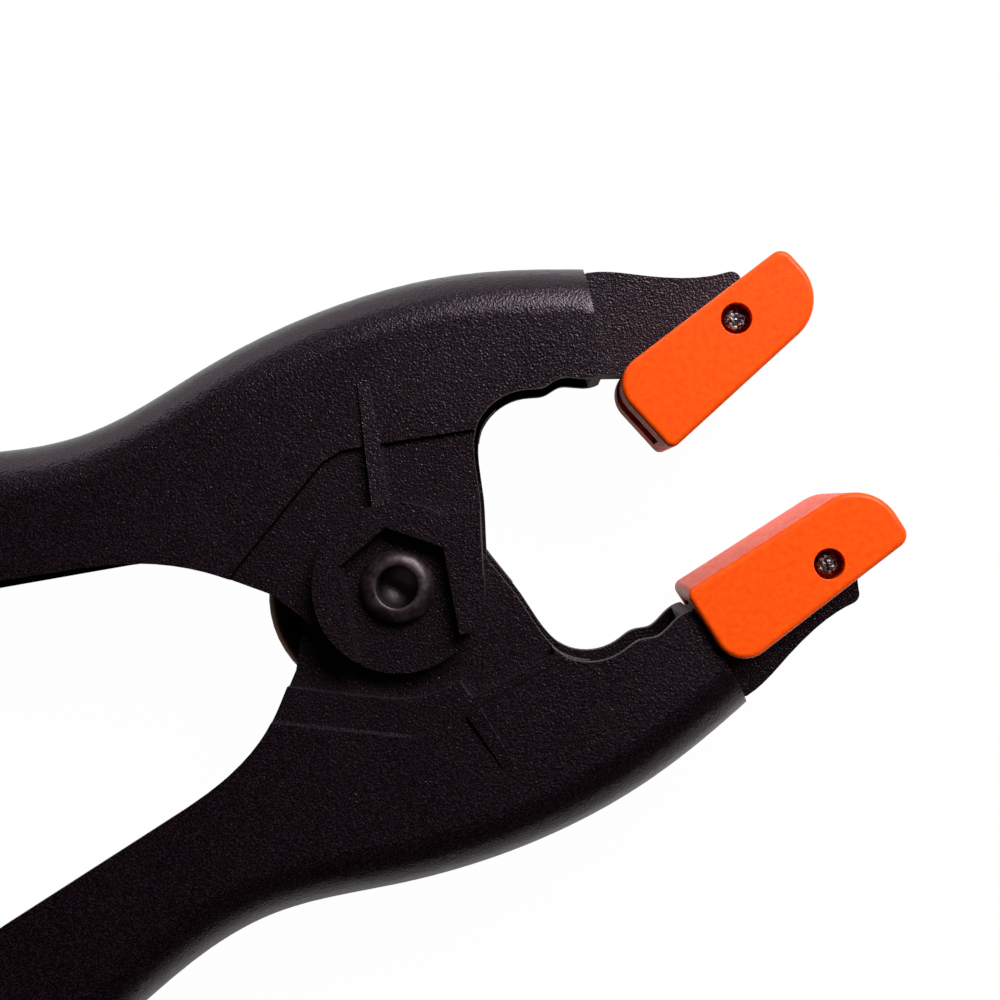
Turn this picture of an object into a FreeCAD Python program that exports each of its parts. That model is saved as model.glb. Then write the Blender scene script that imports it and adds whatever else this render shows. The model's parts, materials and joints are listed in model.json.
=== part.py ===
import FreeCAD, Part
import math
import os

Vector = FreeCAD.Vector

# Spring clamp with swivelling pads, lying on its side.
# All lengths are millimetres. The pivot axis is parallel to Z, the jaws point along +X,
# and the pose is the half open one: each arm is drawn on its own side of the X axis.
# Every piece is built about the middle plane and lifted onto the resting plane at the end.

# Widths across the clamp, along the pivot axis
PAD_WIDTH = 28.0
BODY_WIDTH = 24.3
TONGUE_WIDTH = 10.6
SIDE_WALL = 2.7
WEB_WALL = 2.8
END_WALL = 3.0

# Ears: the outer ear of one arm laps over the inner ear of the other
EAR_DROP = 0.9
OUTER_EAR_WALL = 2.7
INNER_EAR_WALL = 2.3
EAR_GAP = 0.2
EAR_RADIUS = 9.7
EAR_LAP = 3.4
RECESS_GAP = 1.2
RECESS_BACK_SLOPE = 27.6
RECESS_STEP_ANGLE = 78.0
RECESS_STEP = (3.3, 14.6)
RECESS_FRONT = (13.7, 13.2)
HUB_CLEARANCE = 0.3
HUB_GAP = 0.8

# Edge roundings of the moulded arm
EDGE_ROUND = 5.5
CREASE_SLOPE = 0.25
CREASE_ROUND = 2.5

# Side outline of an arm in the half open pose
OUTER_EDGE = [(-80.0, 43.4), (-60.0, 38.6), (-44.4, 33.4), (-36.0, 30.6), (-27.0, 29.2),
              (-12.1, 31.2), (3.5, 32.4), (17.7, 30.8), (32.0, 26.2)]
OUTER_END_SLOPE = -21.4
# Inner edges of the handle: the wall on the outer ear's side stands back from the other one
OUTER_WALL_EDGE = [(-13.5, 4.5), (-19.3, 9.4), (-25.5, 12.9), (-34.7, 15.6), (-54.7, 19.9), (-76.0, 25.2)]
INNER_WALL_EDGE = [(-14.3, 4.4), (-19.3, 9.4), (-25.5, 12.7), (-34.7, 15.0), (-54.7, 19.0), (-76.0, 25.2)]
HANDLE_REST_SLOPE = 163.5
HANDLE_END = (-99.0, 40.3)
HANDLE_END_RADIUS = 7.0
HANDLE_END_TOP = 78.0
HANDLE_END_BACK = 180.0
HANDLE_END_BOTTOM = 250.0
STEP_EDGE = [(32.0, 26.2), (30.9, 19.0), (29.8, 14.1)]
THROAT_EDGE = [(29.8, 14.1), (27.4, 14.5), (25.0, 15.4), (23.2, 15.1), (21.0, 15.6), (17.6, 15.6),
               (14.6, 13.8), (13.1, 10.8), (12.0, 6.1), (10.9, 2.6)]
EAR_FRONT_ANGLE = -10.0
# Back corner of each ear: how far past the ear's circle, and its level
OUTER_EAR_BACK = (1.7, 1.2)
INNER_EAR_BACK = (1.9, -0.3)
# Both handles lean a little towards -Y behind this place
HANDLE_LEAN = 0.012
LEAN_START = 15.0

# Creases between the proud side walls and the flats round the ears
OUTER_CREASE = [(-19.5, 5.6), (-16.0, 8.1), (-3.0, 15.7), (-0.4, 16.2), (17.0, 12.6)]
INNER_CREASE = [(-21.0, 7.7), (-17.6, 9.4), (-4.5, 16.0), (-1.5, 16.3), (17.0, 13.6)]

# Stiffening rib from the boss up the side wall
RIB_FOOT = (1.4, 8.6)
RIB_TOP = (4.5, 22.8)
RIB_FOOT_WIDTH = 2.0
RIB_TOP_WIDTH = 1.3
RIB_FOOT_RISE = 1.2
RIB_TOP_RISE = 0.3

# Boss on the outer ear, with its six sided pocket open to one side
BOSS_RADIUS = 9.4
POCKET_RADIUS = 6.8
POCKET_TURN = 20.0
POCKET_SIDES = 6
POCKET_DRAFT = 0.35
TIP_REACH = 6.4
BLOCK_TOP_LEFT = (6.0, 6.2)
BLOCK_TOP_RIGHT = (12.4, 4.4)

# Raised grip panel near the handle's end
GRIP_FRONT = (-72.0, 31.6)
GRIP_BACK = (-95.0, 39.0)
GRIP_RADIUS = 4.0
GRIP_DRAFT = 0.54

# Tongue that carries the pad
PIN_PLACE = (45.6, 14.5)
CAVITY_FRONT = 28.4
TONGUE_ROOT_TOP = 25.4
TONGUE_BACK = [(32.4, 25.8), (35.3, 24.8), (38.2, 23.3), (40.9, 22.0), (43.2, 21.1), (47.5, 20.2)]
TONGUE_TIP = [(48.3, 19.8), (48.6, 19.0)]
TONGUE_NOSE = 4.0
TONGUE_NOSE_FROM = 10.0
TONGUE_ROOT = (32.0, 13.6)
TONGUE_ROUND = 0.8

# Pad, in its own axes: u runs along the gripping face to the tip, v away from the face
PAD_FACE = 5.93
PAD_ROOT = 15.1
PAD_BACK_ROOT = (-11.8, 4.33)
PAD_BACK_TIP = (6.7, 2.7)
PAD_NOSE_START = 3.9
PAD_NOSE_RADIUS = 5.3
PAD_CORNER = 1.0
PAD_ROOT_ROUND = 3.4
PAD_TIP_ROUND = 1.5
PAD_WEB = 1.6
PAD_SIDE_GAP = 0.3
PAD_RIM = 0.6
UPPER_PAD_ANGLE = 21.7
LOWER_PAD_ANGLE = 11.9

# Pad pin
PIN_RADIUS = 1.25
PIN_RUNNING = 0.05
PIN_RECESS = 1.5
PIN_MOUTH_RADIUS = 1.72
PIN_MOUTH_DEPTH = 4.0
PIN_CHAMFER = 0.3

# Pivot rivet
RIVET_RADIUS = 3.0
RIVET_RUNNING = 0.05
RIVET_HEAD_RADIUS = 4.2
RIVET_HEAD_CROWN = 0.7
RIVET_FLAT_RADIUS = 3.0
RIVET_ROLL_HEIGHT = 1.9
RIVET_ROLL_ROUND = 1.5
RIVET_HOLE_RADIUS = 2.3
RIVET_HOLE_DEPTH = 4.2
RIVET_HOLE_POINT = 0.8
RIVET_FLARE = 0.5

# Torsion spring
WIRE = 3.0
COIL_OUTER_RADIUS = 11.65
COIL_SET_BACK = 4.1
COIL_END_GAP = 0.3
COIL_TURN_GAP = 0.45
LEG_REACH = 42.0
LEG_CLEARANCE = 0.3

HALF_BODY = BODY_WIDTH / 2
EAR_FACE = HALF_BODY - EAR_DROP
OUTER_EAR_INSIDE = EAR_FACE - OUTER_EAR_WALL
INNER_EAR_OUTSIDE = OUTER_EAR_INSIDE - EAR_GAP
INNER_EAR_INSIDE = INNER_EAR_OUTSIDE - INNER_EAR_WALL
BOSS_FACE = PAD_WIDTH / 2
# How far cutting shapes reach past the solid that they cut
CLEAR = 1.0
# Level past the inner side of an arm, ear included
BELOW = -2 * EAR_RADIUS
# Level past an arm's side face and all that stands on it
BESIDE = 2 * BOSS_FACE
# Level past an arm's back
ABOVE = HANDLE_END[1] + 3 * HANDLE_END_RADIUS


def point(place, z=0.0):
    return Vector(place[0], place[1], z)


def polar(centre, radius, angle):
    turn = math.radians(angle)
    return (centre[0] + radius * math.cos(turn), centre[1] + radius * math.sin(turn))


def curve(places, start=None, end=None):
    """Smooth curve through places, with end directions where they are given."""
    line = Part.BSplineCurve()
    points = [point(place) for place in places]
    if start is None:
        line.interpolate(Points=points)
    else:
        line.interpolate(Points=points, InitialTangent=start, FinalTangent=end)
    return line


def prism(edges, low, high):
    """Solid between two heights over a closed outline."""
    face = Part.Face(Part.Wire(edges))
    face.translate(Vector(0, 0, low))
    return face.extrude(Vector(0, 0, high - low))


def polygon(places):
    corners = [point(place) for place in places]
    return [Part.makeLine(a, b) for a, b in zip(corners, corners[1:] + corners[:1])]


def rounded_polygon(places, radii):
    """Closed outline with each corner replaced by an arc of its own radius."""
    edges = []
    starts = []
    count = len(places)
    for i in range(count):
        before = point(places[i - 1])
        here = point(places[i])
        after = point(places[(i + 1) % count])
        back = (before - here).normalize()
        ahead = (after - here).normalize()
        half = back.getAngle(ahead) / 2
        reach = radii[i] / math.tan(half)
        entry = here + back * reach
        leave = here + ahead * reach
        bisector = (back + ahead).normalize()
        middle = here + bisector * (radii[i] / math.sin(half) - radii[i])
        starts.append((entry, middle, leave))
    for i in range(count):
        entry, middle, leave = starts[i]
        following = starts[(i + 1) % count][0]
        edges.append(Part.Arc(entry, middle, leave).toShape())
        edges.append(Part.makeLine(leave, following))
    return edges


def tangent_point(place, radius, side):
    """Where the line from a place touches the circle round the pivot."""
    distance = math.hypot(*place)
    turn = math.degrees(math.atan2(place[1], place[0]))
    spread = math.degrees(math.acos(radius / distance))
    return polar((0, 0), radius, turn + side * spread)


def leaned(place, lean):
    """Handle place, moved across by the handle's lean."""
    return (place[0], place[1] + lean * max(0.0, LEAN_START - place[0]))


def arm_outer_curve(lean):
    """Back of the arm, from the handle's end to the step above the tongue."""
    start = polar(leaned(HANDLE_END, lean), HANDLE_END_RADIUS, HANDLE_END_TOP)
    turn = math.radians(HANDLE_END_TOP)
    first = Vector(math.sin(turn), -math.cos(turn), 0)
    last = point(polar((0, 0), 1.0, OUTER_END_SLOPE))
    return curve([start] + [leaned(place, lean) for place in OUTER_EDGE], first, last)


def inner_side(lean, handle_edge, ear_back):
    """Edges of the arm's outline from the step round the ear to the handle's end."""
    step = curve(STEP_EDGE).toShape()
    ear_front = polar((0, 0), EAR_RADIUS, EAR_FRONT_ANGLE)
    throat = curve(THROAT_EDGE + [ear_front]).toShape()
    back_corner = leaned((-EAR_RADIUS - ear_back[0], ear_back[1]), lean)
    places = [leaned(place, lean) for place in handle_edge]
    touch = tangent_point(back_corner, EAR_RADIUS, 1)
    ear = Part.Arc(point(ear_front), Vector(0, -EAR_RADIUS, 0), point(touch)).toShape()
    back_line = Part.makeLine(point(touch), point(back_corner))
    corner_line = Part.makeLine(point(back_corner), point(places[0]))
    end_bottom = polar(leaned(HANDLE_END, lean), HANDLE_END_RADIUS, HANDLE_END_BOTTOM)
    turn = math.radians(HANDLE_END_BOTTOM)
    first = point(places[1]) - point(places[0])
    middle = point(polar((0, 0), 1.0, HANDLE_REST_SLOPE))
    last = Vector(math.sin(turn), -math.cos(turn), 0)
    handle = curve(places, first.normalize(), middle).toShape()
    handle_rest = curve([places[-1], end_bottom], middle, last).toShape()
    return [step, throat, ear, back_line, corner_line, handle, handle_rest]


def end_arc(lean, first, last):
    """Arc round the handle's end between two angles."""
    centre = leaned(HANDLE_END, lean)
    angles = (first, (first + last) / 2, last)
    return Part.Arc(*[point(polar(centre, HANDLE_END_RADIUS, angle)) for angle in angles]).toShape()


def arm_outline(lean, handle_edge, ear_back):
    """Closed side outline of an arm without its tongue."""
    outer = arm_outer_curve(lean).toShape()
    end = end_arc(lean, HANDLE_END_BOTTOM, HANDLE_END_TOP)
    return [outer] + inner_side(lean, handle_edge, ear_back) + [end]


def web_inside(x, lean):
    """Height of the web's inner face above the X axis, at a place along the arm."""
    outer = arm_outer_curve(lean)
    low, high = outer.FirstParameter, outer.LastParameter
    for _ in range(50):
        middle = (low + high) / 2
        direction = outer.tangent(middle)[0]
        inside = outer.value(middle) + Vector(direction.y, -direction.x, 0) * WEB_WALL
        if inside.x < x:
            low = middle
        else:
            high = middle
    return inside.y


def cavity(lean):
    """Channel inside the arm, open on the inner side."""
    back = HANDLE_END[0] - HANDLE_END_RADIUS + END_WALL + WEB_WALL
    steps = 14
    stations = [back + (CAVITY_FRONT - back) * i / steps for i in range(steps + 1)]
    roof_points = [(x, web_inside(x, lean)) for x in stations]
    roof = curve(roof_points).toShape()
    front_top, front_low = roof_points[-1], (CAVITY_FRONT, BELOW)
    back_top, back_low = roof_points[0], (back, BELOW)
    sides = [Part.makeLine(point(front_top), point(front_low)),
             Part.makeLine(point(front_low), point(back_low)),
             Part.makeLine(point(back_low), point(back_top))]
    half = HALF_BODY - SIDE_WALL
    return prism([roof] + sides, -half, half)


def ear_zone(crease, spread):
    """Outline of the flat round an ear, reaching past its crease by spread."""
    places = crease + [(crease[-1][0], BELOW), (crease[0][0], BELOW)]
    moved = []
    for i, place in enumerate(places):
        before = point(place) - point(places[i - 1])
        after = point(places[(i + 1) % len(places)]) - point(place)
        normals = [Vector(-d.y, d.x, 0).normalize() for d in (before, after)]
        bisector = (normals[0] + normals[1]).normalize()
        moved.append(point(place) + bisector * (spread / bisector.dot(normals[0])))
    radii = [CREASE_ROUND] * len(places)
    flat = [(p.x, p.y) for p in moved]
    return rounded_polygon(flat, radii)


def raised_loft(edges_low, edges_high, low, high):
    """Ruled solid between two like outlines at two heights."""
    bottom = Part.Wire(edges_low)
    bottom.translate(Vector(0, 0, low))
    top = Part.Wire(edges_high)
    top.translate(Vector(0, 0, high))
    return Part.makeLoft([bottom, top], True, True)


def ear_flat_cut(crease):
    """Removes the proud face round an ear, with a steep border, drawn on the outer ear's side."""
    depth = EAR_DROP + CLEAR
    spread = CREASE_SLOPE * depth / EAR_DROP
    return raised_loft(ear_zone(crease, 0), ear_zone(crease, spread), EAR_FACE, EAR_FACE + depth)


def recess_edges(growth):
    """Round the pivot, where the other arm's outer ear turns over the inner ear, open to the throat."""
    radius = EAR_RADIUS + OUTER_EAR_BACK[0] + RECESS_GAP + growth
    touch_angle = 90 + RECESS_BACK_SLOPE
    touch = polar((0, 0), radius, touch_angle)
    middle = polar((0, 0), radius, (touch_angle + RECESS_STEP_ANGLE) / 2)
    step_low = polar((0, 0), radius, RECESS_STEP_ANGLE)
    back = polar(touch, 2 * radius, 180 + RECESS_BACK_SLOPE)
    places = [step_low, (RECESS_STEP[0], RECESS_STEP[1] + growth),
              (RECESS_FRONT[0] + growth, RECESS_FRONT[1] + growth),
              (RECESS_FRONT[0] + growth, BELOW), (back[0], BELOW), back, touch]
    corners = [point(place) for place in places]
    lines = [Part.makeLine(a, b) for a, b in zip(corners, corners[1:])]
    return lines + [Part.Arc(corners[-1], point(middle), corners[0]).toShape()]


def mirrored(shape):
    return shape.mirror(Vector(0, 0, 0), Vector(0, 0, 1))


def rib():
    """Tapering rib on the outer ear's side."""
    along = (point(RIB_TOP) - point(RIB_FOOT)).normalize()
    across = Vector(-along.y, along.x, 0)

    def section(place, width, top):
        low = HALF_BODY - SIDE_WALL / 2
        left = point(place) + across * (width / 2)
        right = point(place) - across * (width / 2)
        corners = [Vector(left.x, left.y, low), Vector(left.x, left.y, top),
                   Vector(right.x, right.y, top), Vector(right.x, right.y, low)]
        return Part.makePolygon(corners + corners[:1])

    foot = section(RIB_FOOT, RIB_FOOT_WIDTH, HALF_BODY + RIB_FOOT_RISE)
    top = section(RIB_TOP, RIB_TOP_WIDTH, HALF_BODY + RIB_TOP_RISE)
    return Part.makeLoft([foot, top], True, True)


def boss(outline):
    """Raised ring and block on the outer ear, with the pocket for the rivet's head."""
    ring = Part.makeCylinder(BOSS_RADIUS, BOSS_FACE - EAR_FACE, Vector(0, 0, EAR_FACE))
    block_places = [BLOCK_TOP_LEFT, BLOCK_TOP_RIGHT, (BLOCK_TOP_RIGHT[0], -EAR_RADIUS), (0, -EAR_RADIUS)]
    block = prism(polygon(block_places), EAR_FACE, BOSS_FACE)
    raised = ring.fuse(block.common(prism(outline, EAR_FACE, BOSS_FACE)))
    step = 360 / POCKET_SIDES
    mouth_turn = POCKET_TURN - 2 * step

    def pocket_edges(radius):
        corners = [polar((0, 0), radius, POCKET_TURN + step * i) for i in range(-1, POCKET_SIDES - 2)]
        mouth = [polar(corners[i], 2 * BOSS_RADIUS, mouth_turn) for i in (-1, 0)]
        return polygon(corners + mouth)

    height = BOSS_FACE - EAR_FACE
    top_radius = POCKET_RADIUS + POCKET_DRAFT * CLEAR / height
    pocket = raised_loft(pocket_edges(POCKET_RADIUS - POCKET_DRAFT), pocket_edges(top_radius),
                         EAR_FACE, BOSS_FACE + CLEAR)
    tip = polar((0, 0), TIP_REACH, mouth_turn)
    tip_side = polar(tip, 2 * BOSS_RADIUS, mouth_turn + 90)
    tip_places = [tip, tip_side, polar(tip_side, 2 * BOSS_RADIUS, mouth_turn), polar(tip, 2 * BOSS_RADIUS, mouth_turn)]
    return raised.cut([pocket, prism(polygon(tip_places), EAR_FACE, BOSS_FACE + CLEAR)])


def grip_panel(lean):
    """Raised panel near the handle's end, on the outer ear's side."""
    def slot(radius):
        a, b = point(leaned(GRIP_FRONT, lean)), point(leaned(GRIP_BACK, lean))
        along = (b - a).normalize()
        across = Vector(-along.y, along.x, 0) * radius
        return [Part.makeLine(a + across, b + across),
                Part.Arc(b + across, b + along * radius, b - across).toShape(),
                Part.makeLine(b - across, a - across),
                Part.Arc(a - across, a - along * radius, a + across).toShape()]

    low = HALF_BODY - SIDE_WALL / 2
    foot = GRIP_RADIUS + GRIP_DRAFT * (BOSS_FACE - low)
    return raised_loft(slot(foot), slot(GRIP_RADIUS), low, BOSS_FACE)


def tongue():
    """Narrow front of the arm that reaches into the pad and carries its pin."""
    nose_start = polar(PIN_PLACE, TONGUE_NOSE, TONGUE_NOSE_FROM)
    offset = (TONGUE_ROOT[0] - PIN_PLACE[0], TONGUE_ROOT[1] - PIN_PLACE[1])
    touch = tangent_point(offset, TONGUE_NOSE, 1)
    touch = (touch[0] + PIN_PLACE[0], touch[1] + PIN_PLACE[1])
    touch_angle = math.degrees(math.atan2(touch[1] - PIN_PLACE[1], touch[0] - PIN_PLACE[0]))
    middle = polar(PIN_PLACE, TONGUE_NOSE, (TONGUE_NOSE_FROM + touch_angle) / 2)
    inner_root = (CAVITY_FRONT, STEP_EDGE[-1][1] + TONGUE_ROUND)
    outer_root = (CAVITY_FRONT, TONGUE_ROOT_TOP)
    back = curve(TONGUE_BACK).toShape()
    edges = [Part.makeLine(point(outer_root), point(TONGUE_BACK[0])), back,
             Part.Arc(point(TONGUE_BACK[-1]), point(TONGUE_TIP[0]), point(TONGUE_TIP[1])).toShape(),
             Part.makeLine(point(TONGUE_TIP[1]), point(nose_start)),
             Part.Arc(point(nose_start), point(middle), point(touch)).toShape(),
             Part.makeLine(point(touch), point(TONGUE_ROOT)),
             Part.makeLine(point(TONGUE_ROOT), point(inner_root)),
             Part.makeLine(point(inner_root), point(outer_root))]
    half = TONGUE_WIDTH / 2
    solid = prism(edges, -half, half)
    bore = Part.makeCylinder(PIN_RADIUS + PIN_RUNNING, TONGUE_WIDTH, point(PIN_PLACE, -half))
    return solid.cut(bore)


def rounded_blank(lean):
    """Full arm outline, rounded along its back and round the handle's end."""
    outer = arm_outer_curve(lean)
    step_top = outer.value(outer.LastParameter)
    ahead = step_top + outer.tangent(outer.LastParameter)[0] * EDGE_ROUND
    end_back = point(polar(leaned(HANDLE_END, lean), HANDLE_END_RADIUS, HANDLE_END_BACK))
    low_front = Vector(ahead.x, BELOW, 0)
    low_back = Vector(end_back.x, BELOW, 0)
    end = end_arc(lean, HANDLE_END_BACK, HANDLE_END_TOP)
    back = [outer.toShape(), Part.makeLine(step_top, ahead), end, Part.makeLine(low_back, end_back)]
    rest = [Part.makeLine(ahead, low_front), Part.makeLine(low_front, low_back)]
    blank = prism(Part.__sortEdges__(back + rest), -HALF_BODY, HALF_BODY)
    path = Part.Compound(back)
    chosen = []
    for edge in blank.Edges:
        middle = edge.valueAt((edge.FirstParameter + edge.LastParameter) / 2)
        level = abs(abs(middle.z) - HALF_BODY) < 0.001
        if level and Part.Vertex(Vector(middle.x, middle.y, 0)).distToShape(path)[0] < 0.001:
            chosen.append(edge)
    rounded = blank.makeFillet(EDGE_ROUND, chosen)
    step_lift = (point(STEP_EDGE[0]) - point(STEP_EDGE[1])).normalize() * EDGE_ROUND
    places = [step_top, step_top + step_lift, Vector(ahead.x, ABOVE, 0), Vector(end_back.x - CLEAR, ABOVE, 0),
              Vector(end_back.x - CLEAR, end_back.y, 0), end_back]
    frame = [Part.makeLine(a, b) for a, b in zip(places, places[1:])]
    end_low = end_arc(lean, HANDLE_END_BOTTOM, HANDLE_END_BACK)
    sides = []
    for handle_edge, ear_back, low, high in ((OUTER_WALL_EDGE, OUTER_EAR_BACK, 0, BOSS_FACE),
                                             (INNER_WALL_EDGE, INNER_EAR_BACK, -BOSS_FACE, 0)):
        keep = Part.__sortEdges__(inner_side(lean, handle_edge, ear_back) + [end_low] + frame)
        sides.append(prism(keep, low, high))
    return rounded.common(sides[0].fuse(sides[1]).removeSplitter())


def arm(lean):
    """One moulded arm on the +Y side, its outer ear towards +Z."""
    outline = arm_outline(lean, OUTER_WALL_EDGE, OUTER_EAR_BACK)
    inner_outline = arm_outline(lean, INNER_WALL_EDGE, INNER_EAR_BACK)
    body = rounded_blank(lean).cut(cavity(lean))
    body = body.cut(ear_flat_cut(OUTER_CREASE)).cut(mirrored(ear_flat_cut(INNER_CREASE)))
    outer_zone = ear_zone(OUTER_CREASE, CREASE_SLOPE)
    inner_zone = ear_zone(INNER_CREASE, CREASE_SLOPE)
    outer_ear = prism(outline, OUTER_EAR_INSIDE, EAR_FACE)
    outer_ear = outer_ear.common(prism(outer_zone, OUTER_EAR_INSIDE, EAR_FACE))
    raised = rib().fuse(grip_panel(lean))
    far_raised = mirrored(raised).cut(prism(inner_zone, -BESIDE, 0))
    far_flat = prism(inner_outline, -EAR_FACE, -INNER_EAR_OUTSIDE)
    far_flat = far_flat.common(prism(inner_zone, -EAR_FACE, -INNER_EAR_OUTSIDE))
    lap = prism(recess_edges(EAR_LAP), -INNER_EAR_OUTSIDE, -INNER_EAR_INSIDE)
    inner_ear = prism(inner_outline, -INNER_EAR_OUTSIDE, -INNER_EAR_INSIDE).common(lap)
    body = body.fuse([outer_ear, far_flat, raised, far_raised])
    body = body.cut(prism(recess_edges(0), -BESIDE, -INNER_EAR_OUTSIDE))
    hub_length = INNER_EAR_INSIDE - HUB_GAP / 2
    hub_radius = COIL_OUTER_RADIUS - WIRE - COIL_SET_BACK - HUB_CLEARANCE
    hub = Part.makeCylinder(hub_radius, hub_length, Vector(0, 0, -INNER_EAR_INSIDE))
    body = body.fuse([inner_ear, hub, boss(outline), tongue()])
    bore = Part.makeCylinder(RIVET_RADIUS + RIVET_RUNNING, PAD_WIDTH + 2 * CLEAR,
                             Vector(0, 0, -PAD_WIDTH / 2 - CLEAR))
    return body.cut(bore).removeSplitter()


def pad():
    """Gripping pad about its pin, slotted for the tongue."""
    nose_centre = (PAD_NOSE_START, PAD_NOSE_RADIUS - PAD_FACE)
    slope = math.degrees(math.atan2(PAD_BACK_TIP[1] - PAD_BACK_ROOT[1], PAD_BACK_TIP[0] - PAD_BACK_ROOT[0]))
    nose_end = polar(nose_centre, PAD_NOSE_RADIUS, 0)
    back_at_tip = PAD_BACK_TIP[1] + (nose_end[0] - PAD_BACK_TIP[0]) * math.tan(math.radians(slope))
    back_at_root = PAD_BACK_ROOT[1] - (PAD_ROOT + PAD_BACK_ROOT[0]) * math.tan(math.radians(slope))
    outline = [(-PAD_ROOT, -PAD_FACE), (PAD_NOSE_START, -PAD_FACE), (nose_end[0], -PAD_FACE),
               (nose_end[0], back_at_tip), (-PAD_ROOT, back_at_root)]
    corners = [outline[0], outline[2], outline[3], outline[4]]
    radii = [PAD_CORNER, PAD_NOSE_RADIUS, PAD_TIP_ROUND, PAD_ROOT_ROUND]
    half = PAD_WIDTH / 2
    block = prism(rounded_polygon(corners, radii), -half, half)
    rim = [edge for edge in block.Edges if abs(abs(edge.CenterOfMass.z) - half) < 0.001]
    block = block.makeFillet(PAD_RIM, rim)
    inside = PAD_NOSE_RADIUS - PAD_WEB
    slot_nose = [point((nose_centre[0], nose_centre[1] - inside)), point(polar(nose_centre, inside, -45)),
                 point((nose_centre[0] + inside, nose_centre[1]))]
    far = 2 * PAD_ROOT
    slot = [Part.makeLine(Vector(-far, slot_nose[0].y, 0), slot_nose[0]),
            Part.Arc(*slot_nose).toShape(),
            Part.makeLine(slot_nose[2], Vector(far, slot_nose[2].y, 0)),
            Part.makeLine(Vector(far, slot_nose[2].y, 0), Vector(far, far, 0)),
            Part.makeLine(Vector(far, far, 0), Vector(-far, far, 0)),
            Part.makeLine(Vector(-far, far, 0), Vector(-far, slot_nose[0].y, 0))]
    half_slot = TONGUE_WIDTH / 2 + PAD_SIDE_GAP
    block = block.cut(prism(slot, -half_slot, half_slot))
    bore = Part.makeCylinder(PIN_RADIUS, PAD_WIDTH, Vector(0, 0, -half))
    mouth = Part.makeCylinder(PIN_MOUTH_RADIUS, PIN_MOUTH_DEPTH + CLEAR, Vector(0, 0, half - PIN_MOUTH_DEPTH))
    return block.cut([bore, mouth, mirrored(mouth)])


def pad_pin():
    half = PAD_WIDTH / 2 - PIN_RECESS
    pin = Part.makeCylinder(PIN_RADIUS, 2 * half, Vector(0, 0, -half))
    ends = [edge for edge in pin.Edges if abs(abs(edge.CenterOfMass.z) - half) < 0.001]
    return pin.makeChamfer(PIN_CHAMFER, ends)


def rivet():
    """Semi tubular rivet: a formed head at -Z, its tube rolled over at +Z."""
    seat = EAR_FACE
    tube_foot = seat + RIVET_RUNNING
    roll_top = tube_foot + RIVET_ROLL_HEIGHT
    shank = Part.makeCylinder(RIVET_RADIUS, tube_foot + seat, Vector(0, 0, -seat))
    head_rim = BOSS_FACE - RIVET_HEAD_CROWN
    head = Part.makeCylinder(RIVET_HEAD_RADIUS, head_rim - seat, Vector(0, 0, -head_rim))
    dome = Part.makeCone(RIVET_FLAT_RADIUS, RIVET_HEAD_RADIUS, RIVET_HEAD_CROWN, Vector(0, 0, -BOSS_FACE))
    roll = Part.makeCylinder(RIVET_HEAD_RADIUS, RIVET_ROLL_HEIGHT, Vector(0, 0, tube_foot))
    crown = [edge for edge in roll.Edges if abs(edge.CenterOfMass.z - roll_top) < 0.001]
    roll = roll.makeFillet(RIVET_ROLL_ROUND, crown)
    hole_foot = roll_top - RIVET_HOLE_DEPTH
    hole = Part.makeCylinder(RIVET_HOLE_RADIUS, RIVET_HOLE_DEPTH, Vector(0, 0, hole_foot))
    point_cone = Part.makeCone(0, RIVET_HOLE_RADIUS, RIVET_HOLE_POINT,
                               Vector(0, 0, hole_foot - RIVET_HOLE_POINT))
    flare = Part.makeCone(RIVET_HOLE_RADIUS, RIVET_HOLE_RADIUS + RIVET_FLARE, RIVET_FLARE,
                          Vector(0, 0, roll_top - RIVET_FLARE))
    return shank.fuse([head, dome, roll]).cut([hole, point_cone, flare]).removeSplitter()


def leg_angle(lean):
    """Slope at which a leg leaves the coil and meets the handle's web."""
    radius = COIL_OUTER_RADIUS - WIRE / 2
    roof = web_inside(-LEG_REACH, lean)
    low, high = 0.0, 45.0
    for _ in range(40):
        middle = (low + high) / 2
        turn = math.radians(middle)
        centre = radius / math.cos(turn) + (LEG_REACH - COIL_SET_BACK) * math.tan(turn)
        if centre + (WIRE / 2 + LEG_CLEARANCE) / math.cos(turn) < roof:
            low = middle
        else:
            high = middle
    return low


def arc_between(start, direction, end):
    """Circular arc from start, along direction, to end."""
    chord = end - start
    unit = Vector(chord).normalize()
    sideways = direction - unit * direction.dot(unit)
    angle = direction.getAngle(chord)
    middle = start + chord * 0.5 + sideways.normalize() * (chord.Length / 2 * math.tan(angle / 2))
    return Part.Arc(start, middle, end).toShape()


def biarc(start, first, end, last):
    """Two arcs that join two places with given directions."""
    gap = end - start
    both = first + last
    spare = 2 * (1 - first.dot(last))
    along = gap.dot(both)
    reach = (-along + math.sqrt(along * along + spare * gap.dot(gap))) / spare
    joint = (start + end + (first - last) * reach) * 0.5
    joint_direction = (end - start - both * reach).normalize()
    return [arc_between(start, first, joint), arc_between(joint, joint_direction, end)]


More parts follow.
